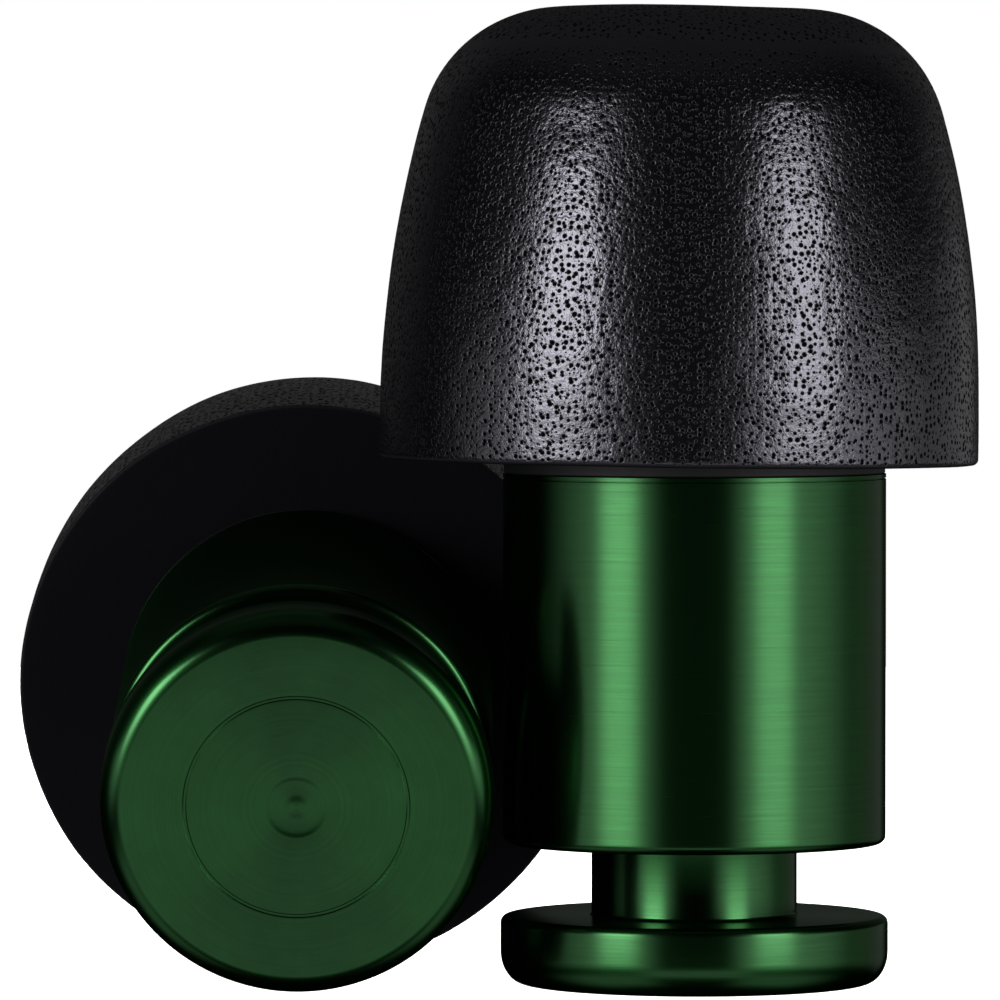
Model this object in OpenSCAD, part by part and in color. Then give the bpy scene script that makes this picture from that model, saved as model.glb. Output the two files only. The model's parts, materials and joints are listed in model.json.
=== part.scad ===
// A pair of metal-cored ear plugs with memory foam tips.
// One plug stands on its flange at the origin. The other lies behind it and to its left,
// on the edge of its flange and the rim of its foam.
// Each plug is drawn upright first: its flange face is at z = 0 and its foam is on top.

/* [Core] */
// Diameter of the flange that the fingers pull on
flange_d = 8.3; // [7.8:0.1:9.5]
// Thickness of the flange
flange_t = 1.46; // [1.2:0.02:1.8]
// Rounding of the flange's outer face
flange_face_round = 0.5; // [0.2:0.05:0.7]
// Rounding of the flange's inner face, towards the neck
flange_back_round = 0.2; // [0.1:0.05:0.45]
// Diameter of the neck between flange and barrel
neck_d = 4.4; // [3.5:0.1:5.5]
// Length of the neck
neck_len = 1.54; // [1.2:0.02:2.5]
// Diameter of the barrel
barrel_d = 8.2; // [7.4:0.1:8.8]
// Length of the barrel
barrel_len = 7.92; // [6:0.01:9]
// Rounding of the barrel's lower edge
barrel_round = 0.18; // [0.1:0.02:0.4]

/* [Stem] */
// Diameter of the stem that the tip is pushed onto
stem_d = 3.8; // [3:0.1:4]
// Length of the stem above the barrel
stem_len = 7.0; // [5:0.1:7]
// How far each retaining ring stands out of the stem
ring_height = 0.15; // [0.05:0.01:0.2]
// Length of each retaining ring
ring_len = 0.9; // [0.6:0.1:1.2]
// Number of retaining rings
ring_count = 3; // [1:1:3]
// Distance from one retaining ring to the next
ring_pitch = 1.9; // [1.5:0.1:2]

/* [Sleeve] */
// Thickness of the sleeve's base flange, the dark band under the foam
sleeve_flange_t = 0.26; // [0.2:0.02:0.6]
// How much smaller the sleeve's base flange is than the barrel, across
sleeve_flange_inset = 0.04; // [0:0.02:0.4]
// Wall thickness of the sleeve's tube
sleeve_wall = 0.65; // [0.4:0.05:0.9]
// Free height of the sleeve above the stem's end
sleeve_over_stem = 0.5; // [0.2:0.1:1]

/* [Foam tip] */
// Diameter of the foam at its rim
foam_d = 12.8; // [11:0.1:14]
// Length of the foam
foam_len = 9.66; // [9:0.01:12]
// Length of the foam's straight skirt above the rim
foam_skirt = 1.0; // [0:0.1:2]
// Radius of the flat on top of the foam
foam_top_r = 2.68; // [2:0.01:3]
// Radius of the foam's rounded shoulder
foam_shoulder_r = 2.96; // [2:0.01:3.2]
// How far the standing foam sits off its core's axis
foam_offset = 0.33; // [0:0.01:0.5]

/* [Placing] */
// Distance of the lying plug's axis from the standing plug's axis, to the left
lying_left = 8.43; // [8.4:0.01:20]
// Distance of the lying plug's flange face in front of the standing plug's axis
lying_front = 3.98; // [0:0.01:10]
// Angle at which the lying plug rises from its flange to its foam
lying_tilt = 10.0; // [9.5:0.1:11.5]

/* [Hidden] */
$fn = 96;

// Radial play between the retaining rings and the sleeve's bore
running_gap = 0.05;
// Height of the cone at each end of a retaining ring
ring_slope = 0.3;
// Bevel at the end of the stem
stem_bevel = 0.35;
// Points along each curve of the foam's outline
curve_steps = 12;
// Larger than the object, for cutting at the ground
beyond = 60;

flange_r = flange_d / 2;
neck_r = neck_d / 2;
barrel_r = barrel_d / 2;
stem_r = stem_d / 2;
foam_r = foam_d / 2;

barrel_z = flange_t + neck_len;
shoulder_z = barrel_z + barrel_len;
stem_top_z = shoulder_z + stem_len;
foam_z = shoulder_z + sleeve_flange_t;

ring_r = stem_r + ring_height;
bore_r = ring_r + running_gap;
sleeve_r = bore_r + sleeve_wall;
sleeve_top_z = stem_top_z + sleeve_over_stem;

// Above its straight skirt the foam's side is a wide arc, which leaves the skirt upright and runs
// into the shoulder's arc. Where they meet, both arcs point the same way, at meet_angle from level.
arc_rise = foam_len - foam_shoulder_r - foam_skirt;
arc_run = foam_r - foam_top_r - foam_shoulder_r;
centre_gap = (arc_rise * arc_rise + arc_run * arc_run) / (2 * arc_run);
side_r = centre_gap + foam_shoulder_r;
meet_angle = asin(arc_rise / centre_gap);

// Height of the lying plug's axis at its flange face, with the flange's edge on the ground
lying_axis_z = max(
  (flange_r - flange_face_round) * cos(lying_tilt)
    - flange_face_round * sin(lying_tilt) + flange_face_round,
  (flange_r - flange_back_round) * cos(lying_tilt)
    - (flange_t - flange_back_round) * sin(lying_tilt) + flange_back_round
);

// Puts an upright plug's piece where the lying plug is.
module lying() {
  translate([-lying_left, -lying_front, lying_axis_z])
    rotate([lying_tilt - 90, 0, 0])
      children();
}

// A turned disc from z = 0 to height h, rounded at its lower and its upper edge.
module rounded_disc(r, h, lower_round, upper_round) {
  rotate_extrude() {
    translate([0, lower_round]) square([r, h - lower_round - upper_round]);
    square([r - lower_round, lower_round]);
    translate([0, h - upper_round]) square([r - upper_round, upper_round]);
    translate([r - lower_round, lower_round]) rotate(-90) quarter_disc(lower_round);
    translate([r - upper_round, h - upper_round]) quarter_disc(upper_round);
  }
}

// The quarter of a disc that lies outwards and upwards of its centre.
module quarter_disc(size) {
  intersection() {
    circle(size);
    square(size);
  }
}

// The stem that holds the tip, with its retaining rings.
module stem() {
  cylinder(r = stem_r, h = stem_len - stem_bevel);
  translate([0, 0, stem_len - stem_bevel])
    cylinder(r1 = stem_r, r2 = stem_r - stem_bevel, h = stem_bevel);
  for (i = [1 : ring_count])
    translate([0, 0, i * ring_pitch - ring_len / 2]) retaining_ring();
}

module retaining_ring() {
  cylinder(r1 = stem_r, r2 = ring_r, h = ring_slope);
  translate([0, 0, ring_slope]) cylinder(r = ring_r, h = ring_len - 2 * ring_slope);
  translate([0, 0, ring_len - ring_slope]) cylinder(r1 = ring_r, r2 = stem_r, h = ring_slope);
}

// The solid core: flange, neck, barrel and stem, turned from one bar.
module core() {
  color("darkgreen") union() {
    rounded_disc(flange_r, flange_t, flange_face_round, flange_back_round);
    translate([0, 0, flange_t / 2]) cylinder(r = neck_r, h = flange_t / 2 + neck_len + barrel_round);
    translate([0, 0, barrel_z]) rounded_disc(barrel_r, barrel_len, barrel_round, barrel_round / 2);
    translate([0, 0, shoulder_z]) stem();
  }
}

// The rubber sleeve: a tube with a thin base flange that sits on the barrel.
module sleeve() {
  color("dimgray") difference() {
    union() {
      translate([0, 0, shoulder_z])
        cylinder(r = barrel_r - sleeve_flange_inset / 2, h = sleeve_flange_t);
      translate([0, 0, shoulder_z]) cylinder(r = sleeve_r, h = sleeve_top_z - shoulder_z);
    }
    translate([0, 0, shoulder_z - 1]) cylinder(r = bore_r, h = sleeve_top_z - shoulder_z + 2);
  }
}

// Points of the foam's outline, from the rim up its side and over its shoulder.
function side_points() = [
  for (i = [0 : curve_steps])
    let (a = meet_angle * i / curve_steps)
      [foam_r - side_r * (1 - cos(a)), foam_skirt + side_r * sin(a)]
];
function shoulder_points() = [
  for (i = [1 : curve_steps])
    let (a = meet_angle + (90 - meet_angle) * i / curve_steps)
      [
        foam_top_r + foam_shoulder_r * cos(a),
        foam_len - foam_shoulder_r * (1 - sin(a))
      ]
];

// The foam, bonded round the sleeve and closed on top.
module foam(offset_x = 0) {
  color("black") difference() {
    translate([-offset_x, 0, foam_z]) rotate_extrude()
      polygon(concat([[0, 0], [foam_r, 0]], side_points(), shoulder_points(), [[0, foam_len]]));
    translate([0, 0, foam_z - 1]) cylinder(r = sleeve_r, h = sleeve_top_z - foam_z + 1);
  }
}

module standing_core() { core(); }
module standing_sleeve() { sleeve(); }
module standing_foam() { foam(foam_offset); }
module lying_core() { lying() core(); }
module lying_sleeve() { lying() sleeve(); }

// The lying foam is pressed flat where it bears on the ground.
module lying_foam() {
  color("black") difference() {
    lying() foam();
    translate([-beyond, -beyond, -beyond]) cube([2 * beyond, 2 * beyond, beyond]);
  }
}

standing_core();
standing_sleeve();
standing_foam();
lying_core();
lying_sleeve();
lying_foam();
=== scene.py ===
"""A pair of ear plugs: turned cores of green anodised aluminium with black memory foam tips.

One plug stands on its flange and one lies beside it. Every piece is a turned form, so each is
drawn as an outline of (radius, height) points in millimetres, upright, with its flange face at
height 0, and is then turned round its axis and put where its plug is.
"""

import json
import math

import bmesh
import bpy
from bpy.props import FloatProperty, FloatVectorProperty, IntProperty, PointerProperty
from mathutils import Matrix, Vector, noise


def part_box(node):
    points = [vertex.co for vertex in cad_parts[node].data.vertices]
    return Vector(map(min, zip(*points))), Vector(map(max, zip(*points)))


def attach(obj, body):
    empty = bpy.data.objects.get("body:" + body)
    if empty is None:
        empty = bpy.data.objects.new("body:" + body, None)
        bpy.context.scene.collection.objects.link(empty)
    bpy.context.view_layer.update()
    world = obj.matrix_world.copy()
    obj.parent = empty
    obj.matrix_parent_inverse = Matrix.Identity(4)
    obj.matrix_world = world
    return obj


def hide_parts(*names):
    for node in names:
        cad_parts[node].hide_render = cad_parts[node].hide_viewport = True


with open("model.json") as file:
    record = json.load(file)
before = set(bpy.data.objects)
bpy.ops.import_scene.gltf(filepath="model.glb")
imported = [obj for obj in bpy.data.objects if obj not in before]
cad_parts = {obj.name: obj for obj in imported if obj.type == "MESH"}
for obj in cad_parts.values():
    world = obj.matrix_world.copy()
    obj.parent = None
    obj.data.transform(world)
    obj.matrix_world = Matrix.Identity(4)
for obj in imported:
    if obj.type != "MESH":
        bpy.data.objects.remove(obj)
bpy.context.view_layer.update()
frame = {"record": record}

bl_info = {
    "name": "Foam-tipped ear plugs",
    "version": (1, 0, 0),
    "blender": (4, 5, 0),
    "location": "View3D > Sidebar > Ear plugs",
    "description": "Builds a pair of metal-cored ear plugs with memory foam tips",
    "category": "Object",
}

MM = 0.001
# What the camera looks at: the middle of the pair, as far back as the standing plug's axis
CAMERA_TARGET = Vector((-0.00416, 0.0, 0.01034))


def linear(code):
    """Turn an sRGB hex code such as "#1c4a26" into a linear colour with alpha."""
    parts = [int(code[i : i + 2], 16) / 255 for i in (1, 3, 5)]
    return tuple(p / 12.92 if p <= 0.04045 else ((p + 0.055) / 1.055) ** 2.4 for p in parts) + (1.0,)


# ---------------------------------------------------------------- where the plugs are


def mount(name):
    """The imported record's mount of this name."""
    return next(m for m in frame["record"]["mounts"] if m["name"] == name)


def joint_axis(name):
    """The direction that a joint moves along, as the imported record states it."""
    joints = frame["record"]["behaviour"]["joints"]
    return Vector(next(j["axis"] for j in joints if j["name"] == name)).normalized()


def place_of_lying_plug():
    """The move that takes an upright plug to where the lying plug is."""
    axis = joint_axis("lying_tip_pull")
    length = mount("standing_ear_end")["pos_m"][2]
    face = Vector(mount("lying_ear_end")["pos_m"]) - axis * length
    turn = Vector((0, 0, 1)).rotation_difference(axis).to_matrix().to_4x4()
    return Matrix.Translation(face) @ turn


def in_mm(node, corner, axis):
    """One coordinate of a CAD node's box, in millimetres; corner 0 is the lowest, 1 the highest."""
    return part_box(node)[corner][axis] / MM


PLUGS = {"standing": Matrix.Identity(4), "lying": place_of_lying_plug()}
SHOULDER_Z = in_mm("standing_sleeve", 0, 2)
SLEEVE_TOP_Z = in_mm("standing_sleeve", 1, 2)
STEM_TOP_Z = in_mm("standing_core", 1, 2)
FLANGE_R = in_mm("standing_core", 1, 0)
SLEEVE_FLANGE_R = in_mm("standing_sleeve", 1, 0)
FOAM_Z = in_mm("standing_foam", 0, 2)
FOAM_TOP_Z = in_mm("standing_foam", 1, 2)
FOAM_R = (in_mm("standing_foam", 1, 0) - in_mm("standing_foam", 0, 0)) / 2
FOAM_OFFSET = (in_mm("standing_foam", 1, 0) + in_mm("standing_foam", 0, 0)) / 2


# ---------------------------------------------------------------- settings


def length_prop(name, description, default):
    """A length of a piece, in millimetres."""
    return FloatProperty(name=name, description=description, default=default, min=0.0)


class EarPlugCore(bpy.types.PropertyGroup):
    """Sizes of the turned core, in millimetres."""

    flange_thickness: length_prop("Flange thickness", "Thickness of the flange, mm", 1.46)
    face_round: length_prop("Face rounding", "Rounding of the flange's outer face, mm", 0.5)
    back_round: length_prop("Back rounding", "Rounding of the flange's inner face, mm", 0.17)
    neck_radius: length_prop("Neck radius", "Radius of the neck, mm", 2.2)
    neck_length: length_prop("Neck length", "Length of the neck, mm", 1.54)
    barrel_radius: length_prop("Barrel radius", "Radius of the barrel, mm", 4.1)
    barrel_round: length_prop("Barrel rounding", "Rounding of the barrel's lower edge, mm", 0.18)
    stem_radius: length_prop("Stem radius", "Radius of the stem inside the tip, mm", 1.9)
    ring_height: length_prop("Ring height", "How far a retaining ring stands proud, mm", 0.15)
    ring_length: length_prop("Ring length", "Length of a retaining ring, mm", 0.9)
    ring_pitch: length_prop("Ring pitch", "Distance between retaining rings, mm", 1.9)
    ring_count: IntProperty(
        name="Rings", description="Number of retaining rings on the stem", default=3, min=1, max=3
    )
    face_groove_radius: length_prop("Face groove", "Radius of the groove on the face, mm", 2.35)
    colour: FloatVectorProperty(
        name="Anodised colour",
        description="Colour of the dyed oxide over bare metal",
        subtype="COLOR",
        size=4,
        min=0.0,
        max=1.0,
        default=linear("#1e5125"),
    )


class EarPlugTip(bpy.types.PropertyGroup):
    """Sizes of the sleeve and the foam, in millimetres."""

    sleeve_wall: length_prop("Sleeve wall", "Wall thickness of the sleeve's tube, mm", 0.65)
    bore_radius: length_prop("Bore radius", "Radius of the sleeve's bore, mm", 2.1)
    skirt: length_prop("Skirt", "Straight length of foam above its rim, mm", 1.0)
    top_radius: length_prop("Flat top", "Radius of the flat on top of the foam, mm", 2.68)
    shoulder: length_prop("Shoulder", "Radius of the foam's rounded shoulder, mm", 2.96)
    rim_round: length_prop("Rim rounding", "Rounding of the foam's rim, mm", 0.12)
    foam_spacing: length_prop("Foam mesh", "Distance between the foam mesh's points, mm", 0.078)
    pore_depth: length_prop("Pore depth", "How deep the pores sink into the foam, mm", 0.009)
    lean: FloatProperty(
        name="Lean",
        description="How far the standing foam leans to the right",
        default=math.radians(0.8),
        subtype="ANGLE",
    )
    foam_colour: FloatVectorProperty(
        name="Foam colour",
        description="Colour of the foam's skin",
        subtype="COLOR",
        size=4,
        min=0.0,
        max=1.0,
        default=linear("#0a0a0d"),
    )
    sleeve_colour: FloatVectorProperty(
        name="Sleeve colour",
        description="Colour of the rubber sleeve",
        subtype="COLOR",
        size=4,
        min=0.0,
        max=1.0,
        default=linear("#0f0f10"),
    )


class EarPlugStudio(bpy.types.PropertyGroup):
    """The camera and the light."""

    distance: FloatProperty(
        name="Camera distance", description="From the camera to its target", default=0.1836, unit="LENGTH"
    )
    view_width: FloatProperty(
        name="View width", description="Width of the view at the target", default=0.0214, unit="LENGTH"
    )
    elevation: FloatProperty(
        name="Camera elevation",
        description="Angle at which the camera looks down",
        default=math.radians(1.65),
        subtype="ANGLE",
    )
    softbox: FloatProperty(
        name="Softbox brightness", description="Radiance of the two softboxes", default=9.0, min=0.0
    )
    overhead: FloatProperty(
        name="Overhead brightness", description="Radiance of the lamp overhead", default=9.0, min=0.0
    )
    segments: IntProperty(
        name="Segments", description="Flats round each turned piece", default=192, min=24, max=512
    )


# ---------------------------------------------------------------- outlines


def arc(centre, radius, start, end, steps):
    """Points on an arc, with angles in degrees from straight out towards straight up."""
    angles = [math.radians(start + (end - start) * i / steps) for i in range(steps + 1)]
    return [(centre[0] + radius * math.cos(a), centre[1] + radius * math.sin(a)) for a in angles]


def face_outline(core):
    """The flange's face from its centre outwards: a pip in a shallow dish, then a turned groove."""
    groove = core.face_groove_radius
    half = 0.045
    return (
        [(0, 0.002), (0.1, 0.003), (0.17, 0.007), (0.22, 0.013), (0.28, 0.016), (0.42, 0.016)]
        + [(0.54, 0.013), (0.6, 0.008), (0.64, 0.002), (0.67, 0), (1.2, 0), (groove - 2 * half, 0)]
        + [(groove - half, 0.002), (groove - half / 2, 0.022), (groove + half / 2, 0.022)]
        + [(groove + half, 0.002), (groove + 2 * half, 0), (3.1, 0)]
    )


def flange_outline(core):
    """The flange's eased outer edge, its upright wall and its inner face, to the neck's foot."""
    thick = core.flange_thickness
    inset = core.face_round
    back = core.back_round
    # The outer edge's rounding is this much taller than it is wide
    taller = 1.4
    foot = 0.08
    edge = arc((FLANGE_R - inset, inset), inset, -90, 0, 16)
    return (
        [(radius, taller * height) for radius, height in edge]
        + arc((FLANGE_R - back, thick - back), back, 0, 90, 10)
        + [(3.0, thick)]
        + arc((core.neck_radius + foot, thick + foot), foot, 270, 180, 8)
    )


def barrel_outline(core):
    """The neck's top, the barrel and the fine groove just under its shoulder."""
    low = core.flange_thickness + core.neck_length
    radius = core.barrel_radius
    edge = core.barrel_round
    fillet = 0.05
    # Extra points this close to the barrel's ends keep its side straight in the light
    support = 0.04
    lip = SHOULDER_Z - 0.085
    groove = radius - 0.03
    bevel = 0.012
    return (
        [(core.neck_radius, low - fillet)]
        + arc((core.neck_radius + fillet, low - fillet), fillet, 180, 90, 4)[1:]
        + arc((radius - edge, low + edge), edge, -90, 0, 12)
        + [(radius, low + edge + support)]
        + [(radius, low + (SHOULDER_Z - low) * i / 8) for i in range(1, 8)]
        + [(radius, lip - 0.035 - support), (radius, lip - 0.035)]
        + [(groove, lip - 0.02), (groove, lip - 0.008), (radius, lip)]
        + [(radius, SHOULDER_Z - bevel), (radius - bevel, SHOULDER_Z)]
    )


def stem_outline(core):
    """The stem that holds the tip, with its retaining rings and its bevelled end."""
    radius = core.stem_radius
    proud = radius + core.ring_height
    slope = 0.3
    fillet = 0.1
    points = arc((radius + fillet, SHOULDER_Z + fillet), fillet, 270, 180, 5)
    for ring in range(1, core.ring_count + 1):
        low = SHOULDER_Z + ring * core.ring_pitch - core.ring_length / 2
        high = low + core.ring_length
        points += [(radius, low), (proud, low + slope), (proud, high - slope), (radius, high)]
    bevel = 0.35
    return points + [(radius, STEM_TOP_Z - bevel), (radius - bevel, STEM_TOP_Z), (0, STEM_TOP_Z)]


def core_outline(core):
    return face_outline(core) + flange_outline(core) + barrel_outline(core) + stem_outline(core)


def sleeve_outline(tip):
    """The sleeve's closed loop: base flange, tube wall, and the bore with its eased mouth."""
    tube = tip.bore_radius + tip.sleeve_wall
    bore = tip.bore_radius
    ease = 0.03
    mouth = 0.15
    bevel = 0.1
    flange = SLEEVE_FLANGE_R
    return (
        [(bore, SHOULDER_Z + mouth), (bore + mouth, SHOULDER_Z)]
        + [(flange - ease, SHOULDER_Z), (flange, SHOULDER_Z + ease)]
        + [(flange, FOAM_Z - ease), (flange - ease, FOAM_Z)]
        + [(tube, FOAM_Z), (tube, SLEEVE_TOP_Z - bevel), (tube - bevel, SLEEVE_TOP_Z)]
        + [(bore + bevel, SLEEVE_TOP_Z), (bore, SLEEVE_TOP_Z - bevel)]
    )


def foam_outline(tip):
    """The foam's outline in two parts: its bore and base, then its side and top."""
    bore = tip.bore_radius + tip.sleeve_wall
    height = FOAM_TOP_Z - FOAM_Z
    rise = height - tip.shoulder - tip.skirt
    run = FOAM_R - tip.top_radius - tip.shoulder
    gap = (rise * rise + run * run) / (2 * run)
    side = gap + tip.shoulder
    meet = math.degrees(math.asin(rise / gap))
    rim = tip.rim_round
    hidden = [(0, SLEEVE_TOP_Z), (bore, SLEEVE_TOP_Z), (bore, FOAM_Z), (FOAM_R - rim, FOAM_Z)]
    seen = (
        arc((FOAM_R - rim, FOAM_Z + rim), rim, -90, 0, 5)
        + arc((FOAM_R - side, FOAM_Z + tip.skirt), side, 0, meet, 24)
        + arc((tip.top_radius, FOAM_TOP_Z - tip.shoulder), tip.shoulder, meet, 90, 24)[1:]
        + [(0, FOAM_TOP_Z)]
    )
    return hidden, seen


def resampled(points, spacing):
    """The same outline, with its points no further apart than spacing."""
    dense = [points[0]]
    for start, end in zip(points, points[1:]):
        count = max(1, math.ceil(math.dist(start, end) / spacing))
        for i in range(1, count + 1):
            share = i / count
            dense.append((start[0] + (end[0] - start[0]) * share, start[1] + (end[1] - start[1]) * share))
    return dense


# ---------------------------------------------------------------- turning an outline into a piece


def lathe(name, outline, segments, place, loop=False, shape=None):
    """Turn an outline round the plug's axis into one closed mesh.

    Points on the axis become a single vertex. shape may move each upright point before it is
    placed. The mesh keeps each point's upright place in millimetres, and its distance along the
    outline, as attributes that the materials read.
    """
    verts, upright, along, rings = [], [], [], []
    travelled = 0.0
    for i, (radius, height) in enumerate(outline):
        if i:
            travelled += math.dist(outline[i - 1], outline[i])
        on_axis = radius < 1e-6
        count = 1 if on_axis else segments
        rings.append((len(verts), count, travelled))
        for k in range(count):
            angle = math.tau * k / segments
            point = Vector((-radius * math.sin(angle), radius * math.cos(angle), height))
            moved = shape(point) if shape else point
            verts.append(place @ (moved * MM))
            upright.append(point)
            along.append(travelled)
    faces, uvs = [], []
    pairs = list(zip(rings, rings[1:]))
    if loop:
        # The strip that closes a loop counts as 1 mm of outline
        pairs.append((rings[-1], (rings[0][0], rings[0][1], travelled + 1.0)))
    for (a, count_a, low), (b, count_b, high) in pairs:
        for k in range(segments):
            after = (k + 1) % segments
            left, right = k / segments, (k + 1) / segments
            corners = [
                (a + k % count_a, left, low),
                (a + after % count_a, right, low),
                (b + after % count_b, right, high),
                (b + k % count_b, left, high),
            ]
            if count_a == 1:
                corners.pop(1)
            if count_b == 1:
                corners.pop(-1)
            faces.append([c[0] for c in corners])
            uvs.append([(c[1], c[2] / (travelled + 1.0)) for c in corners])
    mesh = bpy.data.meshes.new(name)
    mesh.from_pydata(verts, [], faces)
    layer = mesh.uv_layers.new(name="turned")
    layer.data.foreach_set("uv", [value for face in uvs for pair in face for value in pair])
    mesh.attributes.new("upright", "FLOAT_VECTOR", "POINT").data.foreach_set(
        "vector", [value for point in upright for value in point]
    )
    mesh.attributes.new("along", "FLOAT", "POINT").data.foreach_set("value", along)
    turned = bmesh.new()
    turned.from_mesh(mesh)
    bmesh.ops.recalc_face_normals(turned, faces=turned.faces)
    turned.to_mesh(mesh)
    turned.free()
    mesh.shade_smooth()
    crisp_from = math.radians(32)
    mesh.set_sharp_from_angle(angle=crisp_from)
    piece = bpy.data.objects.new(name, mesh)
    bpy.context.scene.collection.objects.link(piece)
    return piece


def fit(piece, node, body, material):
    """Give a new piece its material, attach it to the body it moves with, and hide the CAD part it replaces.
    """
    piece.data.materials.append(material)
    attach(piece, body)
    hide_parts(node)


# ---------------------------------------------------------------- materials


def add(tree, kind, inputs=None, **settings):
    """Add a node, set its own settings, and set or link its inputs."""
    made = tree.nodes.new(kind)
    for name, value in settings.items():
        setattr(made, name, value)
    for key, value in (inputs or {}).items():
        if isinstance(value, bpy.types.NodeSocket):
            tree.links.new(value, made.inputs[key])
        else:
            made.inputs[key].default_value = value
    return made


def new_material(name):
    """An empty node material, its tree and its output."""
    material = bpy.data.materials.new(name)
    material.use_nodes = True
    tree = material.node_tree
    tree.nodes.clear()
    return material, tree, add(tree, "ShaderNodeOutputMaterial")


def anodised_aluminium(core):
    """Fine-turned aluminium bar, anodised and dyed green.

    The lathe leaves rings a few hundredths of a millimetre apart, so highlights stretch along the
    axis and stay narrow round it. The clear oxide adds a pale gloss over the dark green metal.
    """
    material, tree, output = new_material("turned anodised aluminium")
    upright = add(tree, "ShaderNodeAttribute", attribute_name="upright").outputs["Vector"]
    along = add(tree, "ShaderNodeAttribute", attribute_name="along").outputs["Fac"]
    # Tool rings about 0.07 mm apart, coarser than the real ones so that they show
    rings = add(
        tree,
        "ShaderNodeTexNoise",
        {"W": along, "Scale": 14.0, "Detail": 2.0, "Roughness": 0.7},
        noise_dimensions="1D",
    )
    # The same rings, broken into streaks about 1.5 mm long
    stretched = add(tree, "ShaderNodeMapping", {"Vector": upright, "Scale": (0.7, 0.7, 22.0)})
    streaks = add(
        tree,
        "ShaderNodeTexNoise",
        {"Vector": stretched.outputs[0], "Scale": 1.0, "Detail": 3.0, "Roughness": 0.65},
    )
    # Oxide grain about 0.04 mm across
    grain = add(tree, "ShaderNodeTexNoise", {"Vector": upright, "Scale": 26.0, "Detail": 2.0})
    marks = add(
        tree,
        "ShaderNodeMix",
        {"Factor": 0.6, "A": rings.outputs["Fac"], "B": streaks.outputs["Fac"]},
    )
    shade = add(
        tree,
        "ShaderNodeMapRange",
        {
            "Value": marks.outputs["Result"],
            "From Min": 0.3,
            "From Max": 0.7,
            "To Min": 0.82,
            "To Max": 1.14,
        },
    )
    tint = add(
        tree,
        "ShaderNodeVectorMath",
        {0: tuple(core.colour[:3]), "Scale": shade.outputs[0]},
        operation="SCALE",
    )
    rough = add(
        tree,
        "ShaderNodeMapRange",
        {
            "Value": marks.outputs["Result"],
            "From Min": 0.3,
            "From Max": 0.7,
            "To Min": 0.28,
            "To Max": 0.22,
        },
    )
    relief = add(
        tree,
        "ShaderNodeBump",
        {"Height": marks.outputs["Result"], "Strength": 0.5, "Distance": 0.002 * MM},
    )
    relief = add(
        tree,
        "ShaderNodeBump",
        {
            "Height": grain.outputs["Fac"],
            "Normal": relief.outputs[0],
            "Strength": 0.4,
            "Distance": 0.0012 * MM,
        },
    )
    round_axis = add(tree, "ShaderNodeTangent", direction_type="UV_MAP", uv_map="turned")
    metal = add(
        tree,
        "ShaderNodeBsdfPrincipled",
        {
            "Base Color": tint.outputs[0],
            "Metallic": 1.0,
            "Roughness": rough.outputs[0],
            "Anisotropic": 0.6,
            "Anisotropic Rotation": 0.25,
            "Tangent": round_axis.outputs[0],
            "Normal": relief.outputs[0],
            "Specular Tint": linear("#4fa35c"),
            "Coat Weight": 0.36,
            "Coat Roughness": 0.2,
        },
    )
    tree.links.new(metal.outputs[0], output.inputs["Surface"])
    return material


def upright_in(tree):
    """The upright place in millimetres, in a material's nodes or in geometry nodes."""
    if tree.type == "SHADER":
        return add(tree, "ShaderNodeAttribute", attribute_name="upright").outputs["Vector"]
    named = add(tree, "GeometryNodeInputNamedAttribute", {"Name": "upright"}, data_type="FLOAT_VECTOR")
    return named.outputs["Attribute"]


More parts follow.
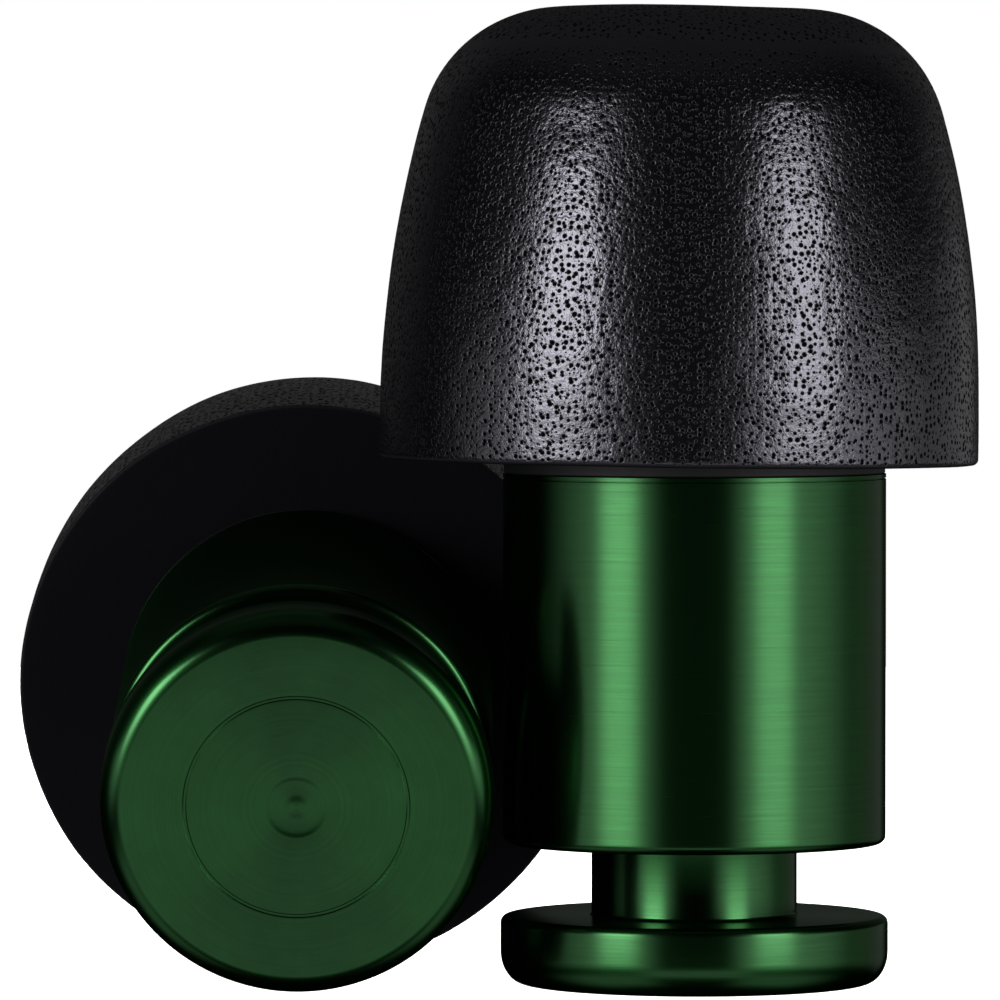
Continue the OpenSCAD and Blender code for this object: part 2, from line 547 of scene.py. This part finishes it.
def open_pores(tree, tip):
    """How far the foam's skin is open, from 0 between pores to 1 in them.

    The pores are drawn on the skin laid flat: the side unrolled round the axis, and the top as
    seen from above. They fade out where the two meet, and there are none on the base.
    """
    upright = upright_in(tree)
    part = add(tree, "ShaderNodeSeparateXYZ", {"Vector": upright})
    height = part.outputs["Z"]
    forward = add(tree, "ShaderNodeMath", {0: part.outputs["Y"], 1: -1.0}, operation="MULTIPLY")
    turned = add(
        tree, "ShaderNodeMath", {0: part.outputs["X"], 1: forward.outputs[0]}, operation="ARCTAN2"
    )
    # A radius between the rim's and the shoulder's, so that the pores stay round all the way up
    middle_radius = 0.92 * FOAM_R
    around = add(tree, "ShaderNodeMath", {0: turned.outputs[0], 1: middle_radius}, operation="MULTIPLY")
    side = add(tree, "ShaderNodeCombineXYZ", {"X": around.outputs[0], "Y": height})
    top = add(tree, "ShaderNodeVectorMath", {0: upright, 1: (1, 1, 0)}, operation="MULTIPLY")
    radius = add(tree, "ShaderNodeVectorMath", {0: top.outputs[0]}, operation="LENGTH")
    rise = add(
        tree, "ShaderNodeMath", {0: height, 1: radius.outputs["Value"]}, operation="SUBTRACT"
    )
    # Past zero, the shoulder faces up more than out
    middle = FOAM_TOP_Z - tip.shoulder - tip.top_radius
    past = add(tree, "ShaderNodeMath", {0: rise.outputs[0], 1: middle}, operation="SUBTRACT").outputs[0]
    on_top = add(tree, "ShaderNodeMath", {0: past, 1: 0.0}, operation="GREATER_THAN").outputs[0]
    flat = add(
        tree,
        "ShaderNodeMix",
        {"Factor": on_top, "A": side.outputs[0], "B": top.outputs[0]},
        data_type="VECTOR",
    ).outputs["Result"]
    to_seam = add(tree, "ShaderNodeMath", {0: past}, operation="ABSOLUTE").outputs[0]
    drawn = add(
        tree, "ShaderNodeMapRange", {"Value": to_seam, "From Min": 0.05, "From Max": 0.25}
    ).outputs[0]
    above_base = add(
        tree,
        "ShaderNodeMapRange",
        {"Value": height, "From Min": FOAM_Z + 0.03, "From Max": FOAM_Z + 0.12},
    ).outputs[0]
    drawn = add(tree, "ShaderNodeMath", {0: drawn, 1: above_base}, operation="MULTIPLY").outputs[0]
    openness = None
    # Pores per millimetre, and the smallest and largest radius as a share of their spacing
    for cells, smallest, largest in ((6.8, 0.12, 0.33), (11.5, -0.3, 0.24)):
        bubbles = add(
            tree,
            "ShaderNodeTexVoronoi",
            {"Vector": flat, "Scale": cells, "Randomness": 0.85},
            voronoi_dimensions="2D",
        )
        chance = add(tree, "ShaderNodeSeparateXYZ", {"Vector": bubbles.outputs["Color"]}).outputs["X"]
        reach = add(
            tree, "ShaderNodeMapRange", {"Value": chance, "To Min": smallest, "To Max": largest}
        )
        reach = add(
            tree, "ShaderNodeMath", {0: reach.outputs[0], 1: drawn}, operation="MULTIPLY"
        ).outputs[0]
        inside = add(
            tree,
            "ShaderNodeMath",
            {0: reach, 1: bubbles.outputs["Distance"]},
            operation="SUBTRACT",
        )
        hole = add(
            tree,
            "ShaderNodeMapRange",
            {"Value": inside.outputs[0], "From Min": -0.1, "From Max": 0.1},
            interpolation_type="SMOOTHSTEP",
        ).outputs[0]
        if openness is None:
            openness = hole
        else:
            openness = add(
                tree, "ShaderNodeMath", {0: openness, 1: hole}, operation="MAXIMUM"
            ).outputs[0]
    return openness


def sink_pores(piece, tip):
    """Sink the foam's mesh where its skin is open, so that the pores are real dimples."""
    tree = bpy.data.node_groups.new("sunken pores", "GeometryNodeTree")
    tree.interface.new_socket("Geometry", in_out="INPUT", socket_type="NodeSocketGeometry")
    tree.interface.new_socket("Geometry", in_out="OUTPUT", socket_type="NodeSocketGeometry")
    start = add(tree, "NodeGroupInput")
    openness = open_pores(tree, tip)
    inwards = add(
        tree, "ShaderNodeMath", {0: openness, 1: -tip.pore_depth * MM}, operation="MULTIPLY"
    )
    sunk = add(
        tree,
        "ShaderNodeVectorMath",
        {0: add(tree, "GeometryNodeInputNormal").outputs[0], "Scale": inwards.outputs[0]},
        operation="SCALE",
    )
    moved = add(tree, "GeometryNodeSetPosition", {"Geometry": start.outputs[0], "Offset": sunk.outputs[0]})
    add(tree, "NodeGroupOutput", {0: moved.outputs[0]})
    piece.modifiers.new("pores", "NODES").node_group = tree
    ready = piece.evaluated_get(bpy.context.evaluated_depsgraph_get())
    mesh = bpy.data.meshes.new_from_object(ready)
    piece.modifiers.clear()
    piece.data = mesh


def foam_skin(tip):
    """Moulded memory foam with a thin skin, dyed black.

    The skin has a soft gloss and is broken by round open pores up to about 0.1 mm across, with
    painted shade darkening their insides. At the edge of a highlight its fine grain glints in specks.
    """
    material, tree, output = new_material("moulded memory foam skin")
    upright = upright_in(tree)
    openness = open_pores(tree, tip)
    # The base is smooth and matte up to the rim's edge, without the side's gloss, and its lighter colour is
    # painted light
    height = add(tree, "ShaderNodeSeparateXYZ", {"Vector": upright}).outputs["Z"]
    bare = add(
        tree,
        "ShaderNodeMapRange",
        {"Value": height, "From Min": FOAM_Z + 0.01, "From Max": FOAM_Z + 0.1, "To Min": 1.0, "To Max": 0.0},
    )
    # The crown's skin is coarser than the side's, with about half the shine
    crown = add(
        tree,
        "ShaderNodeMapRange",
        {"Value": height, "From Min": FOAM_TOP_Z - 1.6, "From Max": FOAM_TOP_Z - 0.4, "To Max": 0.55},
    )
    dull = add(tree, "ShaderNodeMath", {0: openness, 1: bare.outputs[0]}, operation="MAXIMUM")
    dull = add(
        tree, "ShaderNodeMath", {0: dull.outputs[0], 1: crown.outputs[0]}, operation="MAXIMUM"
    ).outputs[0]
    # Soft lumps about 1 mm across, and a crumpled grain a little under 0.1 mm
    lumps = add(
        tree, "ShaderNodeTexNoise", {"Vector": upright, "Scale": 1.1, "Detail": 1.0, "Roughness": 0.5}
    )
    crumple = add(
        tree, "ShaderNodeTexNoise", {"Vector": upright, "Scale": 13.0, "Detail": 2.0, "Roughness": 0.6}
    )
    # Inside the pores the colour turns darker: painted shade in the recesses
    tone_and_painted_light = add(
        tree,
        "ShaderNodeMix",
        {"Factor": openness, "A": tuple(tip.foam_colour), "B": linear("#020203")},
        data_type="RGBA",
    )
    # The base's lighter colour is painted light, standing in for light that barely reaches it
    tone_and_painted_light = add(
        tree,
        "ShaderNodeMix",
        {"Factor": bare.outputs[0], "A": tone_and_painted_light.outputs["Result"], "B": linear("#131317")},
        data_type="RGBA",
    )
    rough = add(tree, "ShaderNodeMapRange", {"Value": dull, "To Min": 0.19, "To Max": 0.9})
    gloss = add(tree, "ShaderNodeMapRange", {"Value": dull, "To Min": 1.0, "To Max": 0.05})
    relief = add(
        tree, "ShaderNodeBump", {"Height": lumps.outputs["Fac"], "Strength": 1.0, "Distance": 0.025 * MM}
    )
    relief = add(
        tree,
        "ShaderNodeBump",
        {
            "Height": crumple.outputs["Fac"],
            "Normal": relief.outputs[0],
            "Strength": 1.0,
            "Distance": 0.01 * MM,
        },
    )
    relief = add(
        tree,
        "ShaderNodeBump",
        {"Height": openness, "Normal": relief.outputs[0], "Strength": 1.0, "Distance": 0.006 * MM},
        invert=True,
    )
    skin = add(
        tree,
        "ShaderNodeBsdfPrincipled",
        {
            "Base Color": tone_and_painted_light.outputs["Result"],
            "Roughness": rough.outputs[0],
            "IOR": 1.5,
            "Specular IOR Level": gloss.outputs[0],
            "Specular Tint": linear("#f3f0ff"),
            "Normal": relief.outputs[0],
        },
    )
    tree.links.new(skin.outputs[0], output.inputs["Surface"])
    return material


def soft_rubber(tip):
    """Moulded thermoplastic rubber: matte, black, with a very fine satin grain."""
    material, tree, output = new_material("moulded soft rubber")
    upright = add(tree, "ShaderNodeAttribute", attribute_name="upright").outputs["Vector"]
    grain = add(tree, "ShaderNodeTexNoise", {"Vector": upright, "Scale": 14.0, "Detail": 3.0})
    rough = add(tree, "ShaderNodeMapRange", {"Value": grain.outputs["Fac"], "To Min": 0.48, "To Max": 0.68})
    relief = add(
        tree, "ShaderNodeBump", {"Height": grain.outputs["Fac"], "Strength": 0.5, "Distance": 0.006 * MM}
    )
    rubber = add(
        tree,
        "ShaderNodeBsdfPrincipled",
        {
            "Base Color": tuple(tip.sleeve_colour),
            "Roughness": rough.outputs[0],
            "Normal": relief.outputs[0],
        },
    )
    tree.links.new(rubber.outputs[0], output.inputs["Surface"])
    return material


# ---------------------------------------------------------------- the pieces


class EARPLUG_OT_cores(bpy.types.Operator):
    """Turn the two metal cores"""

    bl_idname = "earplug.cores"
    bl_label = "Metal cores"

    def execute(self, context):
        core = context.scene.earplug_core
        segments = context.scene.earplug_studio.segments
        material = anodised_aluminium(core)
        for plug, place in PLUGS.items():
            piece = lathe(f"{plug}_turned_core", core_outline(core), segments, place)
            fit(piece, f"{plug}_core", f"{plug}_plug", material)
        return {"FINISHED"}


class EARPLUG_OT_sleeves(bpy.types.Operator):
    """Mould the two rubber sleeves"""

    bl_idname = "earplug.sleeves"
    bl_label = "Rubber sleeves"

    def execute(self, context):
        tip = context.scene.earplug_tip
        segments = context.scene.earplug_studio.segments
        material = soft_rubber(tip)
        for plug, place in PLUGS.items():
            piece = lathe(f"{plug}_moulded_sleeve", sleeve_outline(tip), segments, place, loop=True)
            fit(piece, f"{plug}_sleeve", f"{plug}_tip", material)
        return {"FINISHED"}


def foam_shape(offset, lean):
    """How a foam's turned form moves: off centre and leaning outside, uneven, true at its bore."""
    just_above = 0.01
    pivot = Vector((0, 0, FOAM_Z))
    tilt = Matrix.Rotation(lean, 3, "Y")

    def move(point):
        radius = Vector((point.x, point.y)).length
        outside = min(max((radius - SLEEVE_FLANGE_R) / (FOAM_R - SLEEVE_FLANGE_R), 0.0), 1.0)
        if point.z > FOAM_Z + just_above:
            clear = point.z > SLEEVE_TOP_Z + just_above or radius > SLEEVE_FLANGE_R
            outside = 1.0 if clear else 0.0
        leaning = pivot + tilt @ (point - pivot) + Vector((offset, 0, 0))
        moved = point.lerp(leaning, outside)
        if outside > 0:
            swell = 0.03 * noise.noise(point * 0.4) + 0.003 * noise.noise(point * 1.7)
            # Away from a point on the axis, about a third of the way up the foam
            away = Vector((point.x, point.y, 0.6 * (point.z - FOAM_Z - 3))).normalized()
            moved += away * (swell * outside)
        return moved

    return move


class EARPLUG_OT_foams(bpy.types.Operator):
    """Mould the two memory foam tips"""

    bl_idname = "earplug.foams"
    bl_label = "Foam tips"

    def execute(self, context):
        tip = context.scene.earplug_tip
        material = foam_skin(tip)
        hidden, seen = foam_outline(tip)
        outline = resampled(hidden, 0.3) + resampled(seen, tip.foam_spacing)[1:]
        segments = round(math.tau * FOAM_R / tip.foam_spacing)
        shapes = {"standing": foam_shape(FOAM_OFFSET, tip.lean), "lying": foam_shape(0.0, 0.0)}
        for plug, place in PLUGS.items():
            piece = lathe(f"{plug}_moulded_foam", outline, segments, place, shape=shapes[plug])
            sink_pores(piece, tip)
            # Nothing reaches below the ground, where the lying foam is pressed flat
            for vertex in piece.data.vertices:
                vertex.co.z = max(vertex.co.z, 0.0)
            fit(piece, f"{plug}_foam", f"{plug}_tip", material)
        return {"FINISHED"}


# ---------------------------------------------------------------- the stage

# Each light's brightness, as a share of the softboxes', and its window sideways and upwards: the
# angles where it starts to show, is full, starts to fade and is gone
STUDIO_LIGHTS = (
    # The two softboxes, which make the bright bands down the foam and the metal
    (0.85, (32, 42, 54, 64), (-11, 13, 18, 28)),
    (1.1, (-64, -53, -42, -31), (-11, 13, 18, 28)),
    # The table's sheen under them, which widens the bands on the metal
    (0.16, (17, 36, 58, 122), (-20, -8, 2, 7)),
    (0.11, (-106, -60, -36, -18), (-20, -8, 2, 7)),
    (0.03, (100, 118, 148, 156), (-20, -8, 2, 7)),
    # The glow from the front, low down, which shows in the lying plug's face
    (0.075, (-44, -20, 20, 44), (-40, -32, -20, -14)),
    # Dim walls behind, which trace the foam's edges
    (0.006, (105, 150, 181, 182), (-6, 6, 60, 75)),
    (0.006, (-182, -181, -150, -105), (-6, 6, 60, 75)),
    # The table at the sides, which lights the metal as it is seen from above
    (0.05, (20, 45, 70, 120), (-70, -50, -36, -24)),
    (0.05, (-120, -70, -45, -20), (-70, -50, -36, -24)),
    # The dim ceiling
    (0.005, (-182, -181, 181, 182), (45, 65, 91, 92)),
)


def overhead_light(studio, floor):
    """A wide lamp that lights the floor alone, and without shadows, so that it stays plain white."""
    data = bpy.data.lights.new("overhead", "AREA")
    data.size = 0.6
    data.energy = studio.overhead * data.size**2 * math.pi
    data.use_shadow = False
    lamp = bpy.data.objects.new("overhead", data)
    lamp.location = (0, 0, 0.5)
    lamp.visible_glossy = False
    bpy.context.scene.collection.objects.link(lamp)
    lit = bpy.data.collections.new("lit by the overhead lamp")
    lit.objects.link(floor)
    lamp.light_linking.receiver_collection = lit


def window(tree, value, rise_from, rise_to, fall_from, fall_to):
    """A soft-edged window: 0 outside, 1 from rise_to to fall_from."""
    rise = add(
        tree,
        "ShaderNodeMapRange",
        {"Value": value, "From Min": rise_from, "From Max": rise_to},
        interpolation_type="SMOOTHSTEP",
    )
    fall = add(
        tree,
        "ShaderNodeMapRange",
        {"Value": value, "From Min": fall_from, "From Max": fall_to, "To Min": 1.0, "To Max": 0.0},
        interpolation_type="SMOOTHSTEP",
    )
    return add(
        tree, "ShaderNodeMath", {0: rise.outputs[0], 1: fall.outputs[0]}, operation="MULTIPLY"
    ).outputs[0]


def studio_world(studio):
    """A dark room with a softbox at each side, faint glows round them, and a white backdrop.

    Each light is a soft-edged window of directions, in degrees: how far to the right of the
    front, and how far above level.
    """
    world = bpy.data.worlds.new("studio room")
    bpy.context.scene.world = world
    world.use_nodes = True
    tree = world.node_tree
    tree.nodes.clear()
    way = add(tree, "ShaderNodeTexCoord").outputs["Generated"]
    part = add(tree, "ShaderNodeSeparateXYZ", {"Vector": way})
    forward = add(tree, "ShaderNodeMath", {0: part.outputs["Y"], 1: -1.0}, operation="MULTIPLY")
    turned = add(tree, "ShaderNodeMath", {0: part.outputs["X"], 1: forward.outputs[0]}, operation="ARCTAN2")
    azimuth = add(tree, "ShaderNodeMath", {0: turned.outputs[0]}, operation="DEGREES").outputs[0]
    leaning = add(tree, "ShaderNodeMath", {0: part.outputs["Z"]}, operation="ARCSINE")
    height = add(tree, "ShaderNodeMath", {0: leaning.outputs[0]}, operation="DEGREES").outputs[0]
    glow = 0.0
    for strength, sideways, upwards in STUDIO_LIGHTS:
        lit = add(
            tree,
            "ShaderNodeMath",
            {0: window(tree, azimuth, *sideways), 1: window(tree, height, *upwards)},
            operation="MULTIPLY",
        )
        glow = add(
            tree,
            "ShaderNodeMath",
            {0: lit.outputs[0], 1: strength * studio.softbox, 2: glow},
            operation="MULTIPLY_ADD",
        ).outputs[0]
    room = add(tree, "ShaderNodeBackground", {"Color": glow, "Strength": 1.0})
    white = add(tree, "ShaderNodeBackground", {"Color": (1, 1, 1, 1), "Strength": 1.0})
    seen = add(tree, "ShaderNodeLightPath").outputs["Is Camera Ray"]
    mixed = add(tree, "ShaderNodeMixShader", {0: seen, 1: room.outputs[0], 2: white.outputs[0]})
    add(tree, "ShaderNodeOutputWorld", {"Surface": mixed.outputs[0]})


def pale_floor():
    """A plain matte white floor, which doesn't show in the plugs."""
    material, tree, output = new_material("matte white floor")
    paint = add(tree, "ShaderNodeBsdfDiffuse", {"Color": linear("#f4f4f4")})
    tree.links.new(paint.outputs[0], output.inputs["Surface"])
    mesh = bpy.data.meshes.new("floor")
    half = 0.14
    corners = [(-half, -half, 0), (half, -half, 0), (half, half, 0), (-half, half, 0)]
    mesh.from_pydata(corners, [], [(0, 1, 2, 3)])
    mesh.materials.append(material)
    floor = bpy.data.objects.new("floor", mesh)
    floor.visible_glossy = False
    floor.visible_diffuse = False
    floor.visible_shadow = False
    bpy.context.scene.collection.objects.link(floor)
    return floor


def studio_camera(studio):
    """A long lens, a little above the plugs, that looks along +Y at the middle of the pair."""
    data = bpy.data.cameras.new("camera")
    data.sensor_width = 36
    data.lens = data.sensor_width * studio.distance / studio.view_width
    data.clip_start = 0.01
    camera = bpy.data.objects.new("camera", data)
    tilt = studio.elevation
    camera.location = CAMERA_TARGET + studio.distance * Vector((0, -math.cos(tilt), math.sin(tilt)))
    camera.rotation_euler = (math.pi / 2 - tilt, 0, 0)
    bpy.context.scene.collection.objects.link(camera)
    bpy.context.scene.camera = camera


class EARPLUG_OT_studio(bpy.types.Operator):
    """Set up the camera, the floor and the light"""

    bl_idname = "earplug.studio"
    bl_label = "Studio"

    def execute(self, context):
        studio = context.scene.earplug_studio
        context.scene.view_settings.view_transform = "Standard"
        studio_camera(studio)
        studio_world(studio)
        overhead_light(studio, pale_floor())
        return {"FINISHED"}


class EARPLUG_PT_panel(bpy.types.Panel):
    """Lists the steps that build the ear plugs"""

    bl_idname = "EARPLUG_PT_panel"
    bl_label = "Ear plugs"
    bl_space_type = "VIEW_3D"
    bl_region_type = "UI"
    bl_category = "Ear plugs"

    def draw(self, context):
        for settings in ("earplug_core", "earplug_tip", "earplug_studio"):
            group = getattr(context.scene, settings)
            for name in group.bl_rna.properties.keys():
                if name not in {"rna_type", "name"}:
                    self.layout.prop(group, name)
        for step in STEPS:
            self.layout.operator(step.bl_idname)


GROUPS = {"earplug_core": EarPlugCore, "earplug_tip": EarPlugTip, "earplug_studio": EarPlugStudio}
STEPS = (EARPLUG_OT_studio, EARPLUG_OT_cores, EARPLUG_OT_sleeves, EARPLUG_OT_foams)


def register():
    for cls in (*GROUPS.values(), *STEPS, EARPLUG_PT_panel):
        bpy.utils.register_class(cls)
    for name, cls in GROUPS.items():
        setattr(bpy.types.Scene, name, PointerProperty(type=cls))


def unregister():
    for name in GROUPS:
        delattr(bpy.types.Scene, name)
    for cls in reversed((*GROUPS.values(), *STEPS, EARPLUG_PT_panel)):
        bpy.utils.unregister_class(cls)


def main():
    register()
    bpy.ops.earplug.studio()
    bpy.ops.earplug.cores()
    bpy.ops.earplug.sleeves()
    bpy.ops.earplug.foams()


if __name__ == "__main__":
    main()
